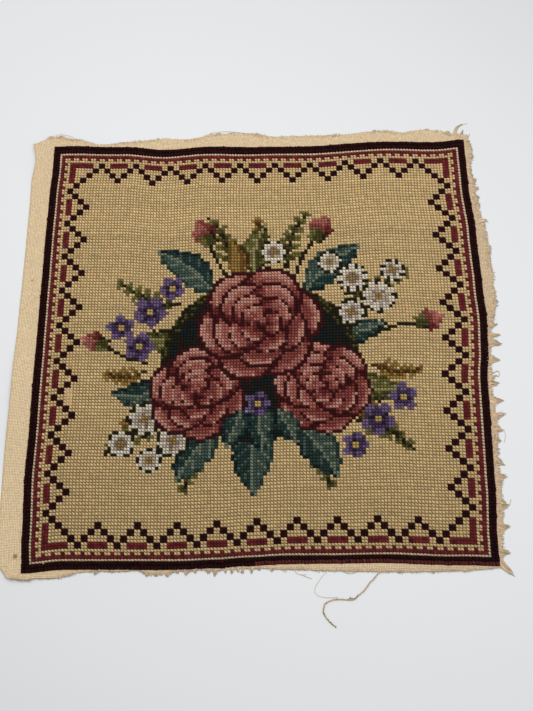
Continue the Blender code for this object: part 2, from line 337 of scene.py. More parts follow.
def petal(x, y, angle, reach, width, family, low, high, shade):
    """One petal of a large flower: dark at its base and sides, pale at its rim."""
    along, across = local(x, y, angle)
    place = (along / reach - 0.54) / 0.48
    off = across / (width * reach)
    edge = np.hypot(place, off)
    paint((edge < 1.14) & (along > 0), tones(family, 0), 0)
    inside = edge < 1.0
    level = low + (high - low) * np.clip(along / reach, 0, 1) ** 1.2
    level = level - 1.3 * (edge > 0.8) * (abs(off) > 0.55) + 0.9 * (edge > 0.76) * (place > 0.35)
    level = level + shade - 0.7 * (abs(off) < 0.16) * (along < reach * 0.72) + 0.35 * dapple
    paint(inside, tones(family, 0, 1, 2, 3, 4), level)


def rose(x, y, radius, turn, sunny=-125):
    """A full-blown rose, seen from above: whorls of petals that close on a dark heart."""
    whorls = [(6, 1.0, 0.50, 0.3, 3.1), (5, 0.76, 0.52, 0.4, 3.4), (4, 0.54, 0.58, 0.6, 3.7), (3, 0.34, 0.66, 0.9, 3.9)]
    for ring, (petals, reach, width, low, high) in enumerate(whorls):
        for number in range(petals):
            angle = turn + 360 * (number + 0.37 * ring) / petals
            shade = 0.55 * math.cos(math.radians(angle - sunny))
            petal(x, y, angle, radius * reach, width, "rose", low, high, shade)
    far = np.hypot(COLUMN - x, ROW - y)
    around = np.degrees(np.arctan2(ROW - y, COLUMN - x)) + far * 60 + turn
    paint(far < radius * 0.15, tones("rose", 0, 1, 3), 1 + np.cos(np.radians(around)) + 0.2)


def bud(x, y, angle, size, family="rose"):
    """A half-open bud with its green cup, on a short stem."""
    stem(x, y, angle + 180, size * 1.9, 1.2, "olive 0")
    along, across = local(x, y, angle)
    swell = size * 0.42 * np.sin(math.pi * np.clip(along / size, 0, 1) ** 0.75)
    inside = (along > 0) & (along < size) & (abs(across) < swell + 0.3)
    level = 1.4 + along / size * 2.2 - 1.2 * (across > swell * 0.35) + 0.3 * dapple
    paint(inside, tones(family, 0, 1, 2, 3), level)
    cup = (along > -1.2) & (along < size * 0.34) & (abs(across) < size * 0.30)
    paint(cup, tones("olive", 0, 1, 2), 1.2 - across * 0.4)


def blossom(x, y, radius, petals, turn, family, names=(0, 1, 2), heart="yellow", ground=None):
    """A small open flower with separate petals round a bright heart."""
    across, down = COLUMN - x, ROW - y
    far = np.hypot(across, down)
    if ground:
        chart[far < radius + 0.4] = NAMES.index(ground)
    around = np.degrees(np.arctan2(down, across)) - turn
    slice_width = 360 / petals
    off = abs((around + slice_width / 2) % slice_width - slice_width / 2) / (slice_width / 2)
    reach = radius * (1.02 - 0.38 * off**2)
    level = 0.4 + far / radius * 2.1 - 0.9 * (off > 0.72) + 0.4 * dapple
    paint(far < reach, tones(family, *names), level)
    chart[far < max(0.9, radius * 0.26)] = NAMES.index(heart)


def bouquet():
    """A round posy: three roses in a ring of leaves, with blue and cream flowers and ferny sprays."""
    for x, y, angle, length, bend in (
        (62, 46, -112, 20, 2), (80, 46, -70, 21, -2), (46, 58, -158, 22, -2), (98, 56, -22, 22, 2),
        (42, 98, 152, 20, 2), (101, 98, 30, 20, -2), (56, 106, 118, 15, 2), (86, 106, 62, 15, -2),
    ):
        frond(x, y, angle, length, "olive", bend)
    for x, y, angle, length, bend in ((71, 44, -92, 17, 1), (36, 80, 176, 14, -2), (106, 80, 4, 16, 2)):
        frond(x, y, angle, length, "gold", bend, 3.0, 4.2)
    for x, y, angle, length, width, family, bend, teeth in (
        (56, 54, -140, 24, 5.4, "teal", 2, 6), (86, 54, -40, 24, 5.4, "teal", -2, 6),
        (44, 84, 168, 20, 4.6, "teal", -2, 5), (98, 84, 12, 20, 4.6, "olive", 2, 5),
        (58, 100, 126, 20, 5.6, "teal", 1, 5), (84, 100, 54, 20, 5.6, "teal", -1, 5),
        (71, 98, 92, 23, 6.4, "teal", 1, 6), (70, 48, -78, 19, 4.4, "olive", -2, 4),
        (48, 72, -172, 16, 4.2, "olive", 1, 4), (94, 70, -14, 17, 4.2, "teal", 1, 4),
        (64, 50, -100, 15, 3.6, "gold", 2, 0), (100, 90, 34, 17, 3.6, "gold", 2, 0),
        (40, 90, 148, 15, 3.4, "gold", -2, 0),
    ):
        leaf(x, y, angle, length, width, family, bend, teeth)
    paint(np.hypot((COLUMN - 71) / 31, (ROW - 77) / 27) < 1, tones("olive", 0, 1), 0.4 + dapple)
    paint(np.hypot((COLUMN - 71) / 29, (ROW - 79) / 25) < 1, ["bark", "teal 0"], 0.5 + dapple)
    for x, y, angle, size in ((55, 36, -118, 9), (90, 35, -64, 9), (22, 72, -160, 8), (121, 66, -18, 8)):
        bud(x, y, angle, size)
    for x, y, radius, turn in (
        (36, 60, 5.6, 10), (27, 66, 4.6, 40), (33, 72, 5.0, 70), (43, 52, 4.4, 20),
        (108, 98, 5.4, 15), (116, 91, 4.6, 50), (101, 106, 4.4, 0),
    ):
        blossom(x, y, radius, 5, turn, "violet", (0, 1, 2, 3), "yellow")
    for x, y, radius, turn in (
        (101, 50, 4.6, 0), (109, 57, 5.2, 20), (100, 62, 4.4, 40), (114, 48, 3.8, 10), (94, 44, 3.8, 30),
        (36, 96, 5.2, 10), (45, 103, 4.8, 35), (29, 104, 4.0, 0), (38, 109, 3.8, 20), (76, 40, 3.8, 0),
    ):
        blossom(x, y, radius, 8, turn, "cream", (0, 1, 2, 2), "gold 2", "olive 0")
    for x, y, radius, turn in ((52, 88, 14.5, 20), (91, 87, 14.5, 75), (71, 65, 18.5, -10)):
        rose(x, y, radius, turn)
    for x, y, angle, length, width in ((71, 92, 84, 16, 4.4), (66, 94, 112, 13, 3.6), (77, 94, 60, 13, 3.6)):
        leaf(x, y, angle, length, width, "teal", 0, 4)
    blossom(71, 92, 4.4, 5, 0, "violet", (0, 1, 2, 3), "yellow")


# Meshes from arrays

def mesh_piece(name, points, quads, color=None, uv=None, finish=None):
    """A mesh of four-sided faces, with a colour for each point."""
    mesh = bpy.data.meshes.new(name)
    mesh.vertices.add(len(points))
    mesh.vertices.foreach_set("co", (np.asarray(points) * MM).astype(np.float32).ravel())
    mesh.loops.add(quads.size)
    mesh.loops.foreach_set("vertex_index", quads.astype(np.int32).ravel())
    mesh.polygons.add(len(quads))
    mesh.polygons.foreach_set("loop_start", np.arange(len(quads), dtype=np.int32) * 4)
    mesh.update(calc_edges=True)
    mesh.shade_smooth()
    if color is not None:
        layer = mesh.color_attributes.new("yarn", "FLOAT_COLOR", "POINT")
        rgba = np.ones((len(points), 4), np.float32)
        rgba[:, :3] = color
        layer.data.foreach_set("color", rgba.ravel())
    if uv is not None:
        layer = mesh.uv_layers.new(name="UVMap")
        layer.data.foreach_set("uv", uv[quads.ravel()].astype(np.float32).ravel())
    if finish:
        mesh.materials.append(finish)
    piece = bpy.data.objects.new(name, mesh)
    bpy.context.scene.collection.objects.link(piece)
    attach(piece, "root")
    return piece


def grid_quads(rows, columns, start=0):
    """Faces of a grid of points that is rows by columns."""
    index = np.arange(rows * columns).reshape(rows, columns) + start
    return np.stack([index[:-1, :-1], index[:-1, 1:], index[1:, 1:], index[1:, :-1]], -1).reshape(-1, 4)


# Cross stitches

# Stitches are a little less high than their rows, so the rows show
ROW_GAP = 0.94
# Where the first holes in from each edge lie, in stitches
EDGE_LINES = {
    "top": [0, 1.5, 3.0, 3.65, 4.75, 5.6, 6.5, 7.45, 8.35, 9.3, 10.2, 11.15, 12.1, 13.05],
    "right": [0, 1.15, 2.25, 3.0, 4.1, 5.1, 6.07, 7.03],
    "bottom": [0, 1.28, 2.5, 3.16, 4.22, 5.17, 6.10, 7.04],
    "left": [0, 1.2, 2.35, 3.1, 4.15, 5.13, 6.08, 7.03],
}
BED_SHADE = 0.20
# The border's own stitches reach this many in from the edge
BORDER = 16
# Painted light: the far edge is painted paler than the near one, for the light that falls brighter there
FAR_ROWS_PAINTED_LIGHT = 0.11
# The single row inside the dark rim catches more light
PALE_LINE = 0.4

Leg = namedtuple("Leg", "rings sides width height sink slant")
UPPER_LEG = Leg(
    rings=[(-0.47, 0.42, 0.0), (-0.17, 1.0, 1.0), (0.17, 1.0, 1.0), (0.47, 0.42, 0.0)],
    sides=5, width=0.33, height=1.0, sink=0.45, slant=1,
)
LOWER_LEG = Leg(
    rings=[(-0.47, 0.45, 0.0), (-0.2, 1.0, 0.85), (0.2, 1.0, 0.85), (0.47, 0.45, 0.0)],
    sides=3, width=0.31, height=0.74, sink=0.3, slant=-1,
)


def leg_points(leg, middle, right, up, wide, high, shift, floor_height, top_height):
    """The points of one leg of each stitch: rings of points along it, each an arch across it, and a painted shade for
    each point.
    """
    points, coords, painted_leg_shade = [], [], []
    arch = np.linspace(0, math.pi, leg.sides)
    for along, width, height in leg.rings:
        for angle in arch:
            side = math.cos(angle) * leg.width * width * wide + shift
            column = along + side / math.sqrt(2)
            row = (side / math.sqrt(2) - along) * leg.slant * ROW_GAP
            rise = (math.sin(angle) * (1 + leg.sink) - leg.sink) * height * leg.height * high
            place = middle + column[:, None] * right + row[:, None] * up
            z = floor_height + rise * (top_height - floor_height)
            points.append(np.c_[place, z])
            coords.append((along + 0.5, angle / math.pi))
            # Painted shade: each point is darker towards the leg's ends and sides, down in the holes, and the lower leg
            # darker still under the upper one
            painted_leg_shade.append((0.42 + 0.58 * height * math.sin(angle) ** 0.7) * (1 if leg.slant > 0 else 0.72))
    count = len(leg.rings) * leg.sides
    stitches = len(middle)
    points = np.stack(points, 1).reshape(-1, 3)
    quads = grid_quads(len(leg.rings), leg.sides)
    if leg.slant < 0:
        quads = quads[:, ::-1]
    quads = (quads[None] + np.arange(stitches)[:, None, None] * count).reshape(-1, 4)
    return points, quads, np.tile(coords, (stitches, 1)), np.tile(painted_leg_shade, stitches)


def hole_line(first, last):
    """Places of the holes across the canvas, crowded by the thick rim at both ends."""
    line = np.arange(COUNT + 1.0)
    line[:len(first)] = first
    line[-len(last):] = COUNT - np.array(last[::-1])
    return line / COUNT


def lattice():
    """The canvas holes, slightly out of line as a hand-held canvas is."""
    rng = np.random.default_rng(SEED)
    across = hole_line(EDGE_LINES["left"], EDGE_LINES["right"])
    down = hole_line(EDGE_LINES["top"], EDGE_LINES["bottom"])
    u, v = np.meshgrid(across, 1 - down)
    points = patch(WOOL_EDGES, u, v)
    row_drift = rng.normal(0, 0.10, (COUNT + 1, 1))
    column_drift = rng.normal(0, 0.08, (1, COUNT + 1))
    points[..., 0] += column_drift + rng.normal(0, 0.07, u.shape)
    points[..., 1] += row_drift + rng.normal(0, 0.07, u.shape)
    wander = 0.20 * np.sin(points[..., 0] / 14 + 1.7 * np.sin(points[..., 1] / 6))
    points[..., 1] += wander * smoothstep(0, 12, HALF - abs(points[..., 1]))
    return points


def stitch_field():
    """Each stitch's middle, its sideways and upward vectors, and its own small differences."""
    holes = lattice()
    top_left, top_right = holes[:-1, :-1], holes[:-1, 1:]
    low_left, low_right = holes[1:, :-1], holes[1:, 1:]
    middle = (top_left + top_right + low_left + low_right) / 4
    right = (top_right + low_right - top_left - low_left) / 2
    up = (top_left + top_right - low_left - low_right) / 2
    rng = np.random.default_rng(SEED + 2)
    shape = (COUNT, COUNT)
    row, column = np.indices(shape)
    inward = np.minimum.reduce([row, column, COUNT - 1 - row, COUNT - 1 - column])
    colored = (chart != NAMES.index("beige")) & (inward < BORDER)
    swell = np.where(inward < 2, RIM_PLUMP, np.where(colored, COLOR_PLUMP, 1.0))[..., None]
    right, up = right * swell, up * swell
    wide = rng.normal(1.0, 0.06, shape) * np.where(colored, 1.08, 1.0)
    high = rng.normal(1.0, 0.07, shape)
    shift = rng.normal(0, 0.02, shape)
    bright = rng.normal(1.0, 0.055, shape)
    warm = rng.normal(0, 0.018, shape)
    bright = bright ** np.where(colored | (inward < 2), 3.2, 1.0)
    loose = rng.normal(0, 0.055, (*shape, 2)) * (inward < 2)[..., None]
    middle = middle + loose[..., :1] * right + loose[..., 1:] * up
    row_tone = rng.normal(1.0, 0.028, (COUNT, 1))
    return middle, right, up, wide, high, shift, bright * row_tone, warm


def stitches(name, mask, finish, yarn):
    """One piece of needlework: every stitch in the mask, as its two crossed legs."""
    middle, right, up, wide, high, shift, bright, warm = (part[mask] for part in FIELD)
    x, y = middle.T
    row, column = np.nonzero(mask)
    inward = np.minimum.reduce([row, column, COUNT - 1 - row, COUNT - 1 - column])
    floor_height = lift_at(x, y) + WOOL_BED
    colored = (chart[mask] != NAMES.index("beige")) & (inward < BORDER)
    top_height = floor_height + WOOL_HIGH + np.where(inward < 2, RIM_EXTRA, COLOR_EXTRA * colored)
    base = linear([yarn[NAMES[number]] for number in chart[mask]])
    beside_rim = ((inward == 2) * PALE_LINE)[:, None]
    base = base * (1 - beside_rim) + linear(yarn["cream 2"]) * beside_rim
    # Painted light: stitches are painted paler towards the far edge, on top of each stitch's own random brightness and
    # warmth
    tone = base * (bright * (1 + FAR_ROWS_PAINTED_LIGHT * y / HALF))[:, None] * np.c_[1 + warm, np.ones_like(warm), 1 - 1.6 * warm]
    # Painted highlight: the crest of each leg is painted part way towards this paler grey of the stitch's own colour
    pale = tone.mean(axis=1, keepdims=True) * 1.05
    points, quads, uv, color = [], [], [], []
    start = 0
    for leg in (UPPER_LEG, LOWER_LEG):
        leg_at, faces, coords, painted_leg_shade = leg_points(
            leg, middle, right, up, wide, high, shift, floor_height, top_height
        )
        points.append(leg_at)
        quads.append(faces + start)
        uv.append(coords)
        each = len(leg_at) // len(middle)
        # Painted shade and highlight: each point takes its leg's painted shade, bluer on the crests and less blue in
        # the hollows
        painted_crest_highlight = 0.12 * painted_leg_shade[:, None] ** 3
        painted_shade_tint = painted_leg_shade[:, None] * (1 + (painted_leg_shade[:, None] - 0.7) * np.array([0, 0.05, 0.45]))
        color.append((np.repeat(tone, each, axis=0) * (1 - painted_crest_highlight) + np.repeat(pale, each, axis=0) * painted_crest_highlight) * painted_shade_tint)
        start += len(leg_at)
    piece = mesh_piece(
        name, np.concatenate(points), np.concatenate(quads), np.concatenate(color), np.concatenate(uv), finish
    )
    return piece


def wool_bed(finish, yarn):
    """The yarn down between the stitches, where little light reaches it."""
    holes = lattice()
    x, y = holes[..., 0], holes[..., 1]
    points = np.dstack([x, y, lift_at(x, y) + WOOL_BED + 0.05]).reshape(-1, 3)
    quads = grid_quads(COUNT + 1, COUNT + 1)
    tone = linear([yarn[name] for name in NAMES])[chart].reshape(-1, 3) * BED_SHADE
    piece = mesh_piece("wool_bed", points, quads[:, ::-1], None, points[:, :2] / STITCH, finish)
    layer = piece.data.color_attributes.new("yarn", "FLOAT_COLOR", "CORNER")
    rgba = np.ones((len(quads) * 4, 4), np.float32)
    rgba[:, :3] = np.repeat(tone, 4, axis=0)
    layer.data.foreach_set("color", rgba.ravel())
    return piece


# The canvas

def canvas_lines():
    """Grid lines over the canvas, as fractions: close at the margins and along the torn side."""
    near = np.array([0, 0.5, 1.2, 2.4, 4.2, 6.5, 9, 12, 15, 18, 22]) / (2 * HALF)
    middle = np.linspace(near[-1], 1 - near[-1], 22)[1:-1]
    u = np.concatenate([near, middle, 1 - near[::-1]])
    v = np.unique(np.concatenate([near, np.linspace(near[-1], 1 - near[-1], 150), 1 - near]))
    return u, v


def canvas_piece(finish):
    """One thin closed sheet, raised a little where the wool lies under it too."""
    u, v = canvas_lines()
    grid_u, grid_v = np.meshgrid(u, v)
    place = patch(CANVAS_EDGES, grid_u, grid_v)
    x, y = place[..., 0], place[..., 1]
    inside = np.minimum(HALF - abs(x), HALF - abs(y))
    margin = 1 - smoothstep(-3, 4, inside)
    ripple = 0.28 * np.sin(x / 9.0 + 1.2) * np.sin(y / 11.0 + 0.5) + 0.28
    low = lift_at(x, y) + CANVAS_LOW + (1 - margin) * CANVAS_RAISED + margin * ripple
    top = np.dstack([x, y, low + CANVAS_THICK]).reshape(-1, 3)
    under = np.dstack([x, y, low]).reshape(-1, 3)
    rows, columns = grid_u.shape
    index = np.arange(rows * columns).reshape(rows, columns)
    ring = np.concatenate([index[0, :], index[1:, -1], index[-1, -2::-1], index[-2:0:-1, 0]])
    step = np.roll(ring, -1)
    size = rows * columns
    wall = np.stack([ring, ring + size, step + size, step], -1)
    quads = np.concatenate([grid_quads(rows, columns), grid_quads(rows, columns, size)[:, ::-1], wall])
    flat = np.stack([grid_u * 2 * HALF, grid_v * 2 * HALF], -1).reshape(-1, 2)
    worn = smoothstep(0.9, 0.0, grid_u * 2 * HALF).reshape(-1, 1)
    # Painted shadow: the canvas just beyond the right and bottom edges of the wool is painted a little darker, fading
    # out towards the left, as the raised rim's shadow
    painted_rim_shadow = np.maximum(smoothstep(HALF - 2, HALF + 2, x), smoothstep(HALF - 2, HALF + 2, -y)).reshape(-1, 1)
    painted_rim_shadow = painted_rim_shadow * smoothstep(-HALF, -60, x).reshape(-1, 1)
    color = (1 - worn * (1 - np.array([0.84, 0.68, 0.48]))) * (1 - painted_rim_shadow * (1 - np.array([0.86, 0.85, 0.87])))
    piece = mesh_piece(
        "canvas_cloth", np.concatenate([top, under]), quads, np.tile(color, (2, 1)), np.tile(flat, (2, 1)), finish
    )
    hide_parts("canvas")
    return piece


def wool_back(finish, yarn):
    """The underside of the needlework: short upright bars of yarn in level rows."""
    line = np.arange(COUNT + 1) / COUNT
    rows = np.linspace(0, 1, 2 * COUNT + 1)
    u, v = np.meshgrid(line, 1 - rows)
    place = patch(WOOL_EDGES, u, v)
    x, y = place[..., 0], place[..., 1]
    bulge = np.where(np.arange(2 * COUNT + 1) % 2, 1.0, 0.0)[:, None]
    rng = np.random.default_rng(SEED + 3)
    depth = bulge * (BACK_HIGH - BACK_LOW) * rng.uniform(0.75, 1.0, u.shape)
    z = lift_at(x, y) + BACK_HIGH + BACK_LOW - depth
    rim = (u == 0) | (u == 1) | (v == 0) | (v == 1)
    z = np.where(rim, lift_at(x, y) + WOOL_BED, z)
    points = np.dstack([x, y, z]).reshape(-1, 3)
    row = np.clip(np.arange(2 * COUNT + 1) // 2, 0, COUNT - 1)
    column = np.clip(np.arange(COUNT + 1), 0, COUNT - 1)
    base = linear([yarn[name] for name in NAMES])[chart[np.ix_(row, column)]]
    # Painted shade: the rows between the bars are painted darker than the bars themselves, with a random tone for each
    # point
    tone = base * (0.55 + 0.35 * bulge[..., None]) * rng.normal(1, 0.08, u.shape)[..., None]
    flat = np.dstack([u, v]).reshape(-1, 2) * COUNT
    quads = grid_quads(2 * COUNT + 1, COUNT + 1)
    piece = mesh_piece("wool_back", points, quads, tone.reshape(-1, 3), flat, finish)
    return piece


# Threads

def tube_mesh(paths, widths, sides):
    """Tubes along several paths, each an array of points, as one set of points and faces."""
    points, quads, start = [], [], 0
    spin = np.arange(sides) * 2 * math.pi / sides
    for path, width in zip(paths, widths):
        along = np.gradient(path, axis=0)
        along /= np.linalg.norm(along, axis=1, keepdims=True) + 1e-12
        level = np.cross(along, [0, 0, 1])
        level /= np.linalg.norm(level, axis=1, keepdims=True) + 1e-12
        upward = np.cross(level, along)
        radius = np.broadcast_to(np.asarray(width, float) / 2, len(path))
        ring = level[:, None] * np.cos(spin)[None, :, None] + upward[:, None] * np.sin(spin)[None, :, None]
        body = path[:, None] + ring * radius[:, None, None]
        index = np.arange(len(path) * sides).reshape(len(path), sides) + start
        turned = np.roll(index, -1, axis=1)
        quads.append(np.stack([index[:-1], turned[:-1], turned[1:], index[1:]], -1).reshape(-1, 4))
        points.append(body.reshape(-1, 3))
        start += len(path) * sides
    return np.concatenate(points), np.concatenate(quads)


def smooth_route(route, steps=4):
    """Points along a smooth curve through the route's own points."""
    spots = np.array(route, float)
    spots = np.vstack([2 * spots[0] - spots[1], spots, 2 * spots[-1] - spots[-2]])
    points = [spots[1]]
    for a, b, c, d in zip(spots, spots[1:], spots[2:], spots[3:]):
        for step in range(1, steps + 1):
            t = step / steps
            bent = 2 * b + (c - a) * t + (2 * a - 5 * b + 4 * c - d) * t**2 + (3 * b - a - 3 * c + d) * t**3
            points.append(bent / 2)
    return np.array(points)


def plied(path, width, turns_per_mm, plies=2):
    """Plies that wind round a path."""
    length = np.r_[0, np.cumsum(np.linalg.norm(np.diff(path, axis=0), axis=1))]
    fine = np.linspace(0, length[-1], int(length[-1] / 0.45))
    path = np.stack([np.interp(fine, length, path[:, k]) for k in range(3)], 1)
    along = np.gradient(path, axis=0)
    along /= np.linalg.norm(along, axis=1, keepdims=True)
    level = np.cross(along, [0, 0, 1])
    upward = np.cross(level, along)
    ways = []
    for ply in range(plies):
        phase = 2 * math.pi * (fine * turns_per_mm + ply / plies)
        offset = level * np.cos(phase)[:, None] + upward * np.sin(phase)[:, None]
        ways.append(path + offset * width * 0.25)
    return ways


def cord_piece(name, route, width, turns, node, finish, tone, dye):
    """A loose yarn end. Dye says how dark it is: how far along, and how much light it keeps back."""
    rng = np.random.default_rng(SEED + 4)
    flat = smooth_route(route)
    flat[1:-1] += rng.normal(0, width * 0.13, flat[1:-1].shape)
    path = np.c_[flat, np.full(len(flat), width / 2 + 0.04)]
    ways = plied(path, width * 0.85, turns)
    part = np.linspace(0, 1, len(ways[0]))
    uneven = 1 + 0.22 * np.sin(part * 150) * np.sin(part * 47 + 2)
    widths = [width * 0.52 * uneven] * len(ways)
    stains, depths = np.array(dye).T
    dots = np.repeat(rng.uniform(0.1, 1.6, len(part) // 4 + 1), 4)[:len(part)]
    stain = np.clip(np.interp(part, stains, depths) * dots, 0, 0.92)
    shades = [1 - 0.4 * stain, 0.72 - 0.62 * stain]
    if node == "loose_thread":
        for turn in (-0.4, 0.5, 1.9, 2.7):
            way = np.array([math.cos(turn), math.sin(turn), 0.12])
            ways.append(np.array([69.4, -203.8, 0.5]) + way * np.linspace(-0.9, 1.8, 5)[:, None])
            widths.append(np.linspace(0.65, 0.4, 5))
            shades.append(np.full(5, 0.3))
    points, quads = tube_mesh(ways, widths, 6)
    color = linear(tone) * np.repeat(np.concatenate(shades), 6)[:, None] * rng.normal(1, 0.04, (len(points), 1))
    piece = mesh_piece(name, points, quads, color, None, finish)
    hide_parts(node)
    return piece


Fray = namedtuple("Fray", "name node side start end count short inside tufts")
# Tufts of longer threads: where along the side, how long, how far to either side, and how far they lean
FRAYS = [
    Fray("frayed_right", "frayed_edge_right", "right", 0.004, 0.985, 1100, 0.9, 3.6, [
        (0.034, 6.4, 0.018, -3.2), (0.081, 5.8, 0.020, -1.0), (0.129, 6.4, 0.018, -0.5), (0.184, 6.6, 0.018, 0.5),
        (0.219, 6.0, 0.015, -1.5), (0.261, 3.6, 0.016, 0.5), (0.290, 5.6, 0.013, -1.0), (0.316, 8.7, 0.014, 0.0),
        (0.352, 9.0, 0.016, 0.5), (0.388, 6.8, 0.016, 1.0), (0.400, 5.2, 0.010, 2.0), (0.441, 9.0, 0.016, 0.5),
        (0.481, 9.6, 0.018, 0.5), (0.498, 8.4, 0.012, 1.0), (0.519, 5.8, 0.014, 2.0), (0.549, 1.6, 0.010, -2.0),
        (0.773, 5.2, 0.008, 1.0), (0.812, 2.6, 0.012, 1.5), (0.832, 3.0, 0.012, 2.0), (0.856, 3.6, 0.012, 2.5),
        (0.875, 3.6, 0.012, 2.5), (0.905, 1.6, 0.014, 1.0), (0.940, 2.0, 0.016, 1.0),
    ]),
    Fray("frayed_bottom", "frayed_edge_bottom", "bottom", 0.01, 0.985, 700, 0.6, 2.0, [
        (0.03, 1.2, 0.018, 0), (0.045, 1.6, 0.014, 0), (0.09, 0.9, 0.02, 0), (0.12, 0.9, 0.014, 0),
        (0.185, 3.6, 0.010, -1.5), (0.217, 1.2, 0.010, 0), (0.245, 0.9, 0.016, 0), (0.289, 2.0, 0.008, 0),
        (0.305, 1.8, 0.008, 0), (0.331, 2.2, 0.008, 0), (0.350, 2.4, 0.008, -0.5), (0.370, 3.8, 0.009, -1),
        (0.385, 2.2, 0.006, 0), (0.414, 3.2, 0.009, -1), (0.429, 4.2, 0.008, -0.5), (0.447, 3.8, 0.006, 0),
        (0.461, 4.3, 0.006, 0), (0.472, 3.0, 0.005, 0), (0.483, 4.4, 0.006, 0.3), (0.502, 4.1, 0.007, 0),
        (0.516, 2.0, 0.005, 0), (0.540, 2.4, 0.007, 0), (0.568, 1.2, 0.010, 0), (0.60, 1.0, 0.016, 0),
        (0.72, 0.9, 0.016, 0), (0.80, 1.2, 0.014, 0), (0.87, 0.9, 0.016, 0), (0.93, 1.2, 0.014, 0),
    ]),
    Fray("frayed_top", "frayed_edge_top", "top", 0.01, 0.985, 640, 0.6, 2.4, [
        (0.035, 2.4, 0.02, 0), (0.06, 2.0, 0.016, 1), (0.10, 1.4, 0.02, 1), (0.20, 1.2, 0.02, 0),
        (0.29, 1.4, 0.016, 0), (0.43, 2.2, 0.016, 0), (0.46, 1.4, 0.02, 0), (0.52, 2.0, 0.016, 0),
        (0.60, 1.2, 0.02, 0), (0.70, 1.2, 0.02, 0), (0.79, 2.2, 0.016, 0), (0.87, 1.6, 0.016, 0),
        (0.91, 2.2, 0.014, 0), (0.955, 2.6, 0.012, 1.5),
    ]),
]
# Single threads that have worked loose and lie beside the edge
STRAYS = {
    "frayed_bottom": [
        [(27.6, -181.5), (28.6, -183.2), (30.9, -185.4), (34.2, -185.9), (36.9, -185.6)],
        [(33.2, -185.5), (37.1, -187.6), (40.9, -188.8)],
        [(62.6, -182.0), (64.4, -183.8), (67.3, -185.0), (70.3, -185.4), (73.7, -184.4), (76.8, -183.0)],
        [(19.5, -181.6), (20.6, -183.5), (21.8, -184.0)],
    ],
    "frayed_top": [
        [(-177.5, 191.8), (-175.0, 194.2), (-170.0, 194.4), (-164.6, 193.0), (-159.5, 190.4)],
        [(-46.0, 190.0), (-40.0, 193.4), (-33.8, 194.6), (-23.2, 194.6), (-14.0, 193.2), (-6.0, 190.4)],
        [(-30.0, 190.5), (-22.0, 193.6), (-12.0, 193.0), (-2.0, 191.0)],
        [(-191.0, 184.0), (-193.5, 184.3), (-196.3, 185.2)],
    ],
    "frayed_right": [
        [(190.0, 100.2), (192.4, 101.6), (193.6, 100.4)],
        [(187.2, -31.0), (190.6, -29.6), (191.9, -31.8), (190.8, -34.2), (189.4, -33.0)],
        [(186.2, -75.0), (191.0, -77.6), (192.4, -82.0), (191.0, -87.2)],
        [(185.5, -139.2), (190.2, -136.4), (192.4, -131.4)],
    ],
}
OUTWARD = {"right": (1, 0), "bottom": (0, -1), "top": (0, 1), "left": (-1, 0)}


def wavy(start, tip, rng, rings, wander, low, high, curl=0.0):
    """A thread's path from its root in the cloth to its tip on the surface, which may curl aside."""
    part = np.linspace(0, 1, rings)
    path = start + (tip - start) * part[:, None]
    side = np.array([-(tip - start)[1], (tip - start)[0]])
    side = side / (np.linalg.norm(side) + 1e-9)
    wave = np.sin(part * rng.uniform(2, 5) + rng.uniform(0, 6)) * wander * part
    path = path + side * (wave + curl * part**3)[:, None]
    return np.c_[path, high + (low - high) * smoothstep(0.3, 0.9, part) + rng.uniform(0, 0.25)]


def thread_mesh(name, node, paths, rng, finish, wide=0.55, fine=0.26):
    """Frayed threads as thin tubes, each a little lighter or darker than the next."""
    widths = [np.linspace(wide, fine, len(path)) * rng.uniform(0.75, 1.15) for path in paths]
    points, quads = tube_mesh(paths, widths, 3)
    each = np.concatenate([np.full(len(path) * 3, rng.uniform(0.50, 1.16)) for path in paths])
    ends = np.concatenate([np.repeat(1 - 0.45 * np.linspace(0, 1, len(path)) ** 3, 3) for path in paths])
    tone = linear((242, 212, 172)) * (each * ends)[:, None]
    piece = mesh_piece(name, points, quads, tone, None, finish)
    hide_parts(node)
    return piece


def frayed_piece(row, rng, finish):
    """Loose canvas threads at one edge: short ones all along, and tufts that draw together at their tips."""
    outward = np.array(OUTWARD[row.side], float)
    sideways = np.array([1.0, 0.0]) if outward[0] == 0 else np.array([0.0, 1.0])
    paths = []
    for number in range(row.count):
        place = row.start + (row.end - row.start) * (number + rng.uniform(0.1, 0.9)) / row.count
        root = side_points(CANVAS_EDGES, row.side, place) - outward * rng.uniform(0.4, row.inside)
        aim = np.clip(place + rng.normal(0, 0.0022), 0, 1)
        patchy = 1 + 0.6 * math.sin(place * 150) * math.sin(place * 41 + 1)
        tip = side_points(CANVAS_EDGES, row.side, aim) + outward * row.short * patchy * rng.uniform(0.2, 2.1)
        high = lift_at(*root) + rng.uniform(0.5, 1.1)
        paths.append(wavy(root, tip, rng, 4, rng.uniform(0.1, 0.5), 0.28 + lift_at(*tip), high))
    for spot, reach, half, lean in row.tufts:
        curl = rng.uniform(-0.28, 0.28) * reach
        for number in range(int(7 + 5.5 * reach)):
            off = rng.uniform(-1, 1) * rng.uniform(0.3, 1)
            place = np.clip(spot + off * half, 0, 1)
            root = side_points(CANVAS_EDGES, row.side, place) - outward * rng.uniform(0.5, row.inside)
            length = reach * (1 - 0.55 * abs(off)) * rng.uniform(0.45, 1.05)
            aim = np.clip(spot + off * half * rng.uniform(0.05, 0.6), 0, 1)
            tip = side_points(CANVAS_EDGES, row.side, aim) + outward * length + sideways * lean * length / reach
            high = lift_at(*root) + rng.uniform(0.5, 1.1)
            paths.append(wavy(root, tip, rng, 6, rng.uniform(0.1, 1.0), 0.28 + lift_at(*tip), high, curl))
    for route in STRAYS[row.name]:
        flat = smooth_route(route, 3)
        for beside in (-0.13, 0.13):
            high = np.linspace(0.6, 0.28, len(flat)) + lift_at(*flat[0])
            paths.append(np.c_[flat + beside * np.array([outward[1], -outward[0]]), high])
    return thread_mesh(row.name, row.node, paths, rng, finish)


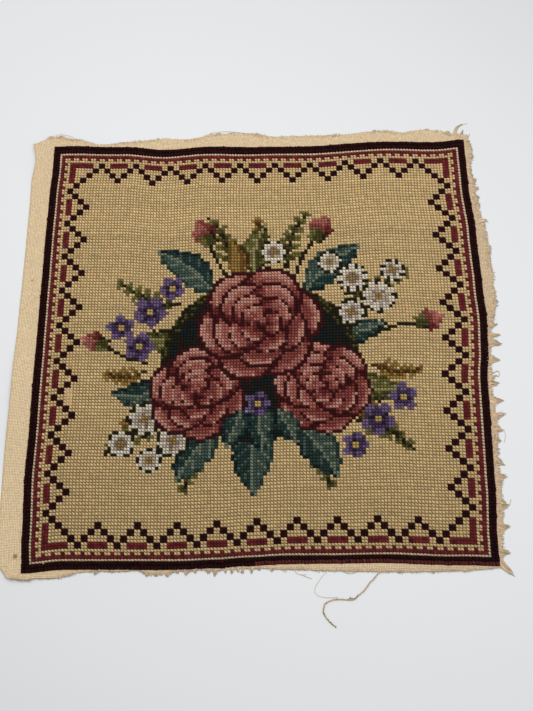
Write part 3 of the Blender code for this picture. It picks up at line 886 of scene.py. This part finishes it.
# Corner tufts: the way each bundle of threads goes, how many there are, and how widely they spread
Tuft = namedtuple("Tuft", "route count spread")
TUFTS = {
    "frayed_tuft_lower": ("frayed_corner_lower", [
        Tuft([(178.5, -177.5), (182.4, -181.6), (186.4, -185.4), (190.6, -188.7)], 34, 0.6),
        Tuft([(180.5, -175.5), (184.0, -179.8), (187.4, -183.4), (189.6, -186.4)], 16, 0.5),
    ]),
    "frayed_tuft_upper": ("frayed_corner_upper", [
        Tuft([(172.6, 182.0), (172.4, 187.6), (174.6, 192.4), (180.2, 195.6)], 24, 0.9),
        Tuft([(176.5, 181.0), (177.6, 185.4), (179.4, 190.6)], 14, 0.8),
        Tuft([(180.0, 178.5), (182.0, 182.0), (184.4, 186.0)], 8, 0.6),
        Tuft([(179.8, 195.2), (182.4, 195.8), (185.0, 196.3)], 2, 0.2),
    ]),
}


def tuft_piece(name, rng, finish):
    """Bundles of torn threads at a corner of the cloth, closer together at their tips."""
    node, bundles = TUFTS[name]
    paths = []
    for row in bundles:
        middle = smooth_route(row.route, 3)
        along = np.gradient(middle, axis=0)
        across = np.c_[-along[:, 1], along[:, 0]] / np.linalg.norm(along, axis=1)[:, None]
        part = np.linspace(0, 1, len(middle))
        for number in range(row.count):
            reach = rng.uniform(0.6, 1.0)
            shift = rng.normal(0, row.spread) * (1.15 - part * reach) + rng.normal(0, 0.12)
            path = middle + across * shift[:, None]
            path = np.stack([np.interp(part * reach, part, path[:, k]) for k in range(2)], 1)
            high = rng.uniform(0.35, 0.8)
            paths.append(np.c_[path, high + (0.22 - high) * smoothstep(0, 0.6, part)])
    return thread_mesh(name, node, paths, rng, finish)


# Materials

def shader_tree(name, roughness, sheen):
    made = bpy.data.materials.new(name)
    made.use_nodes = True
    shader = made.node_tree.nodes["Principled BSDF"]
    shader.inputs["Roughness"].default_value = roughness
    shader.inputs["Specular IOR Level"].default_value = 0.05
    shader.inputs["Sheen Weight"].default_value = sheen
    shader.inputs["Sheen Roughness"].default_value = 0.6
    return made, made.node_tree, shader


def yarn_color(tree, noise_scale, low, high):
    """The piece's own colour, mottled by fine fibres."""
    own = tree.nodes.new("ShaderNodeAttribute")
    own.attribute_name = "yarn"
    coords = tree.nodes.new("ShaderNodeTexCoord")
    noise = tree.nodes.new("ShaderNodeTexNoise")
    noise.inputs["Scale"].default_value = noise_scale
    noise.inputs["Detail"].default_value = 4
    spread = tree.nodes.new("ShaderNodeMapRange")
    spread.inputs["To Min"].default_value = low
    spread.inputs["To Max"].default_value = high
    mixed = tree.nodes.new("ShaderNodeVectorMath")
    mixed.operation = "SCALE"
    tree.links.new(coords.outputs["Object"], noise.inputs["Vector"])
    tree.links.new(noise.outputs["Fac"], spread.inputs["Value"])
    tree.links.new(own.outputs["Color"], mixed.inputs[0])
    tree.links.new(spread.outputs["Result"], mixed.inputs["Scale"])
    return mixed.outputs["Vector"], noise.outputs["Fac"], coords


def bump(tree, height, strength, distance, before=None):
    node = tree.nodes.new("ShaderNodeBump")
    node.inputs["Strength"].default_value = strength
    node.inputs["Distance"].default_value = distance * MM
    tree.links.new(height, node.inputs["Height"])
    if before:
        tree.links.new(before, node.inputs["Normal"])
    return node.outputs["Normal"]


def wave(tree, vector, scale, direction="X"):
    node = tree.nodes.new("ShaderNodeTexWave")
    node.bands_direction = direction
    node.inputs["Scale"].default_value = scale
    tree.links.new(vector, node.inputs["Vector"])
    return node.outputs["Fac"]


def wool_finish():
    """Matt twisted wool: plies that slant along each leg, and fine fibres."""
    made, tree, shader = shader_tree("wool_yarn", 0.95, 0.02)
    color, fibres, coords = yarn_color(tree, 1400, 0.80, 1.18)
    tree.links.new(color, shader.inputs["Base Color"])
    slant = tree.nodes.new("ShaderNodeVectorRotate")
    slant.rotation_type = "Z_AXIS"
    slant.inputs["Angle"].default_value = math.radians(52)
    tree.links.new(coords.outputs["UV"], slant.inputs["Vector"])
    plies = wave(tree, slant.outputs["Vector"], 1.1)
    first = bump(tree, plies, 0.35, 0.18)
    tree.links.new(bump(tree, fibres, 0.5, 0.12, first), shader.inputs["Normal"])
    return made


def canvas_finish():
    """Plain weave cotton: fine crossing threads, slubs, and brown spots where it has aged."""
    made, tree, shader = shader_tree("canvas_cotton", 0.95, 0.05)
    color, fibres, coords = yarn_color(tree, 620, 0.62, 1.38)
    base = tree.nodes.new("ShaderNodeVectorMath")
    base.operation = "MULTIPLY"
    base.inputs[1].default_value = tuple(linear((232, 206, 166)))
    tree.links.new(color, base.inputs[0])
    thread_scale = 2 * math.pi / (20 * 1.2)
    across = wave(tree, coords.outputs["UV"], thread_scale, "X")
    down = wave(tree, coords.outputs["UV"], thread_scale, "Y")
    weave = tree.nodes.new("ShaderNodeMath")
    weave.operation = "MULTIPLY"
    tree.links.new(across, weave.inputs[0])
    tree.links.new(down, weave.inputs[1])
    shade = tree.nodes.new("ShaderNodeMapRange")
    shade.inputs["To Min"].default_value = 0.66
    shade.inputs["To Max"].default_value = 1.34
    tree.links.new(weave.outputs["Value"], shade.inputs["Value"])
    woven = tree.nodes.new("ShaderNodeVectorMath")
    woven.operation = "SCALE"
    tree.links.new(base.outputs["Vector"], woven.inputs[0])
    tree.links.new(shade.outputs["Result"], woven.inputs["Scale"])
    last = woven.outputs["Vector"]
    for x, y, radius in ((-188, 57.2, 0.75), (-181.3, 165.9, 0.5), (-180.6, 161, 0.4), (-183.6, -170.5, 1.5)):
        last = spot(tree, coords, last, x, y, radius)
    tree.links.new(last, shader.inputs["Base Color"])
    first = bump(tree, weave.outputs["Value"], 0.5, 0.15)
    tree.links.new(bump(tree, fibres, 0.4, 0.1, first), shader.inputs["Normal"])
    return made


def spot(tree, coords, color, x, y, radius):
    """A small brown stain with a soft edge."""
    far = tree.nodes.new("ShaderNodeVectorMath")
    far.operation = "DISTANCE"
    far.inputs[1].default_value = (x * MM, y * MM, 0.0015)
    tree.links.new(coords.outputs["Object"], far.inputs[0])
    fade = tree.nodes.new("ShaderNodeMapRange")
    fade.inputs["From Min"].default_value = radius * 0.6 * MM
    fade.inputs["From Max"].default_value = radius * 1.8 * MM
    fade.inputs["To Min"].default_value = 0.75
    fade.inputs["To Max"].default_value = 0.0
    tree.links.new(far.outputs["Value"], fade.inputs["Value"])
    mix = tree.nodes.new("ShaderNodeMix")
    mix.data_type = "RGBA"
    mix.inputs["B"].default_value = (*linear((112, 70, 40)), 1)
    tree.links.new(fade.outputs["Result"], mix.inputs["Factor"])
    tree.links.new(color, mix.inputs["A"])
    return mix.outputs["Result"]


def thread_finish():
    made, tree, shader = shader_tree("loose_yarn", 0.9, 0.4)
    color, fibres, coords = yarn_color(tree, 1800, 0.75, 1.2)
    tree.links.new(color, shader.inputs["Base Color"])
    tree.links.new(bump(tree, fibres, 0.6, 0.1), shader.inputs["Normal"])
    return made


# Camera, light and floor

def stage():
    scene = bpy.context.scene
    data = bpy.data.cameras.new("camera")
    data.sensor_width = SENSOR
    data.lens = FOCAL_PIXELS / IMAGE_LONG_SIDE * SENSOR
    camera = bpy.data.objects.new("camera", data)
    turn = (
        Matrix.Rotation(math.radians(CAMERA_YAW), 4, "Z")
        @ Matrix.Rotation(math.radians(CAMERA_TILT), 4, "X")
        @ Matrix.Rotation(math.radians(CAMERA_ROLL), 4, "Z")
    )
    camera.matrix_world = Matrix.Translation(Vector(CAMERA_PLACE) * MM) @ turn
    scene.collection.objects.link(camera)
    scene.camera = camera

    floor_mesh = bpy.data.meshes.new("floor")
    floor_mesh.from_pydata([(-3, -3, 0), (3, -3, 0), (3, 3, 0), (-3, 3, 0)], [], [(0, 1, 2, 3)])
    made, tree, shader = shader_tree("pale_floor", 0.7, 0)
    shader.inputs["Base Color"].default_value = (0.80, 0.81, 0.82, 1)
    floor_mesh.materials.append(made)
    floor = bpy.data.objects.new("floor", floor_mesh)
    scene.collection.objects.link(floor)

    world = bpy.data.worlds.new("soft_room")
    world.use_nodes = True
    world.node_tree.nodes["Background"].inputs["Color"].default_value = (0.98, 0.985, 1.0, 1)
    world.node_tree.nodes["Background"].inputs["Strength"].default_value = 0.37
    scene.world = world
    for name, place, size, power in (
        ("window", (-0.7, 0.9, 0.9), 0.9, 1.9),
        ("ceiling", (0.04, 0.06, 0.76), 1.1, 5.0),
    ):
        lamp = bpy.data.lights.new(name, "AREA")
        lamp.shape = "RECTANGLE"
        lamp.size = size
        lamp.size_y = size * 0.5
        lamp.energy = power
        light = bpy.data.objects.new(name, lamp)
        light.location = place
        light.rotation_euler = (-Vector(place)).to_track_quat("-Z", "Y").to_euler()
        scene.collection.objects.link(light)
    scene.view_settings.view_transform = "Standard"


stage()
border()
bouquet()
FIELD = stitch_field()
wool, cloth, yarn_finish = wool_finish(), canvas_finish(), thread_finish()

cord_piece(
    "loose_yarn_end", THREAD_ROUTE, THREAD_WIDTH, 0.36, "loose_thread", yarn_finish, (222, 192, 146),
    [(0, 0.15), (0.2, 0.4), (0.3, 0.65), (0.36, 0.8), (0.41, 0.6), (0.5, 0.4), (0.66, 0.4), (0.78, 0.6), (1, 0.85)],
)
cord_piece(
    "fine_yarn_end", FINE_ROUTE, FINE_WIDTH, 0.7, "fine_thread", yarn_finish, (226, 212, 186),
    [(0, 0), (0.6, 0.1), (1, 0.35)],
)

rng = np.random.default_rng(SEED + 5)
fringes = [frayed_piece(row, rng, yarn_finish) for row in FRAYS]
fringes += [tuft_piece(name, rng, yarn_finish) for name in TUFTS]

beige = chart == NAMES.index("beige")
depth = np.minimum.reduce([ROW, COLUMN, COUNT - ROW, COUNT - COLUMN])
borders = ~beige & (depth < BORDER)
flowers = ~beige & ~borders
bands = 4
for band in range(bands):
    rows = (ROW >= band * COUNT / bands) & (ROW < (band + 1) * COUNT / bands)
    stitches(f"wool_ground_{band + 1}", beige & rows, wool, YARNS)
stitches("wool_border", borders, wool, YARNS)
stitches("wool_flowers_upper", flowers & (ROW < COUNT / 2), wool, YARNS)
stitches("wool_flowers_lower", flowers & (ROW > COUNT / 2), wool, YARNS)
wool_bed(wool, YARNS)
wool_back(wool, YARNS)
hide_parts("stitched_wool")

ground_cloth = canvas_piece(cloth)
